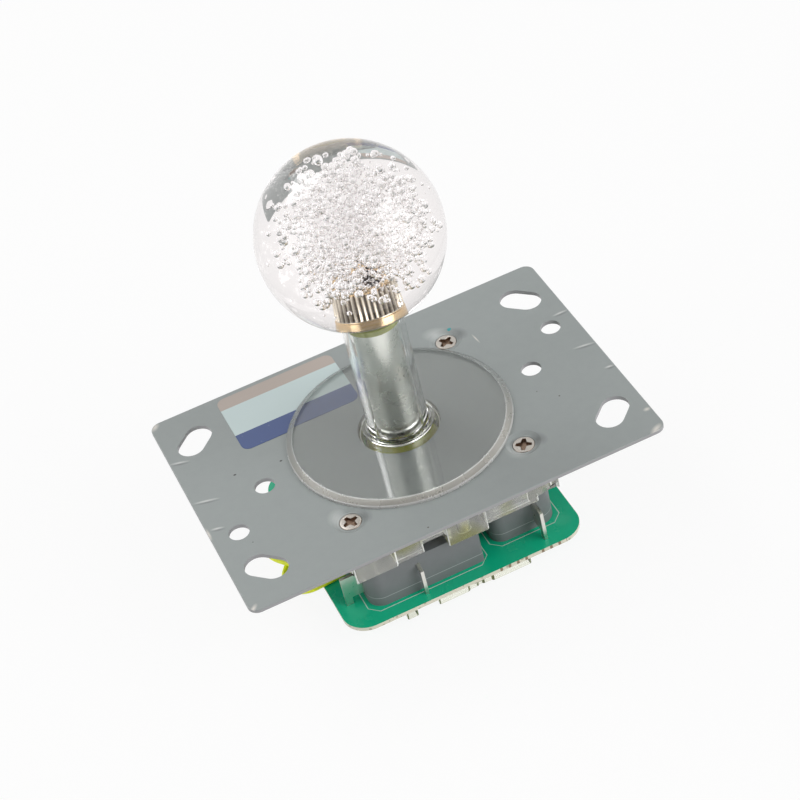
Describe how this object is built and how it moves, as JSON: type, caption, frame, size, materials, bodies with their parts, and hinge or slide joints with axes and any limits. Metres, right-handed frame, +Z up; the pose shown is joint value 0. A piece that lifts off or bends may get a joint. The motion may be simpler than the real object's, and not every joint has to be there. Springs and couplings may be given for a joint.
{
  "type": "arcade joystick lever",
  "caption": "Arcade stick with a clear ball top on a sprung lever, a slotted steel mounting plate, and microswitches on a circuit board under a clear housing.",
  "frame": {"origin": "centre of the pair of panel holes, on the lever's axis, in the mounting plate's top face", "axes": "+Z up the shaft to the ball, +X along the mounting plate's long side"},
  "size_m": [0.1, 0.07, 0.1059],
  "materials": {
    "plate_paint": "semi-gloss grey paint on sheet steel",
    "nickel_steel": "nickel-plated steel",
    "label_film": "printed film with plain fields of colour",
    "clear_plastic": "water-clear moulded plastic",
    "plated_steel": "satin plated steel",
    "olive_plastic": "olive moulded plastic",
    "brass": "knurled brass",
    "bubble_acrylic": "clear cast acrylic with small bubbles",
    "lamp_lens": "clear moulded lens",
    "wire_insulation": "wire insulation",
    "pivot_plastic": "yellow-green moulded plastic",
    "actuator_plastic": "yellow-green moulded plastic",
    "spring_steel": "spring steel",
    "board_green": "green solder mask with white outlines",
    "header_plastic": "off-white moulded plastic",
    "tin_metal": "tinned metal",
    "switch_grey": "grey moulded plastic",
    "plunger_plastic": "moulded plastic",
    "lead_yellow": "bright yellow insulation"
  },
  "bodies": {
    "base": {"mounting_plate": "plate_paint", "plate_screws": "nickel_steel", "label": "label_film", "housing": "clear_plastic", "circuit_board": "board_green", "board_header": "header_plastic", "header_pins": "tin_metal", "restrictor_gate": "clear_plastic", "board_screws": "nickel_steel", "lead_front": "lead_yellow", "lead_rear": "lead_yellow", "lead_joints": "tin_metal", "switch_case_front": "switch_grey", "switch_lid_front": "switch_grey", "switch_terminals_front": "tin_metal", "switch_case_right": "switch_grey", "switch_lid_right": "switch_grey", "switch_terminals_right": "tin_metal", "switch_case_back": "switch_grey", "switch_lid_back": "switch_grey", "switch_terminals_back": "tin_metal", "switch_case_left": "switch_grey", "switch_lid_left": "switch_grey", "switch_terminals_left": "tin_metal"},
    "swing": {"return_spring": "spring_steel"},
    "lever": {"ball_top": "bubble_acrylic", "ball_insert": "brass", "ball_washer": "olive_plastic", "lamp": "lamp_lens", "lamp_leads": "wire_insulation", "shaft": "plated_steel", "pivot": "pivot_plastic", "actuator": "actuator_plastic", "retaining_clip": "spring_steel"},
    "cover": {"shaft_cover": "clear_plastic"},
    "seat": {"spring_seat": "pivot_plastic"},
    "washer": {"dust_washer": "clear_plastic"},
    "plunger_front": {"switch_plunger_front": "plunger_plastic"},
    "plunger_right": {"switch_plunger_right": "plunger_plastic"},
    "plunger_back": {"switch_plunger_back": "plunger_plastic"},
    "plunger_left": {"switch_plunger_left": "plunger_plastic"}
  },
  "joints": [
    {"name": "swing_direction", "type": "hinge", "parent": "base", "child": "swing", "pos_m": [0, 0, -0.008], "axis": [0, 0, 1], "continuous": true},
    {"name": "lever_tilt", "type": "hinge", "parent": "swing", "child": "lever", "pos_m": [0, 0, -0.008], "axis": [1, 0, 0], "range_deg": [0, 8], "stiffness_Nm_per_rad": 1},
    {"name": "cover_lift", "type": "slide", "parent": "lever", "child": "cover", "axis": [0, 0, 1], "range_m": [0, 0.0013]},
    {"name": "seat_drop", "type": "slide", "parent": "lever", "child": "seat", "axis": [0, 0, -1], "range_m": [0, 0.0012], "deforming": ["return_spring"]},
    {"name": "washer_slide", "type": "slide", "parent": "swing", "child": "washer", "axis": [0, -1, 0], "range_m": [0, 0.0013]},
    {"name": "plunger_front_press", "type": "slide", "parent": "base", "child": "plunger_front", "axis": [0, -1, 0], "range_m": [0, 0.0009], "stiffness_N_per_m": 300},
    {"name": "plunger_right_press", "type": "slide", "parent": "base", "child": "plunger_right", "axis": [1, 0, 0], "range_m": [0, 0.0009], "stiffness_N_per_m": 300},
    {"name": "plunger_back_press", "type": "slide", "parent": "base", "child": "plunger_back", "axis": [0, 1, 0], "range_m": [0, 0.0009], "stiffness_N_per_m": 300},
    {"name": "plunger_left_press", "type": "slide", "parent": "base", "child": "plunger_left", "axis": [-1, 0, 0], "range_m": [0, 0.0009], "stiffness_N_per_m": 300}
  ],
  "couplings": [
    {"joint": "cover_lift", "follows": "lever_tilt", "m_per_rad": 0.0091},
    {"joint": "seat_drop", "follows": "lever_tilt", "m_per_rad": 0.0082},
    {"joint": "washer_slide", "follows": "lever_tilt", "m_per_rad": 0.0087}
  ]
}
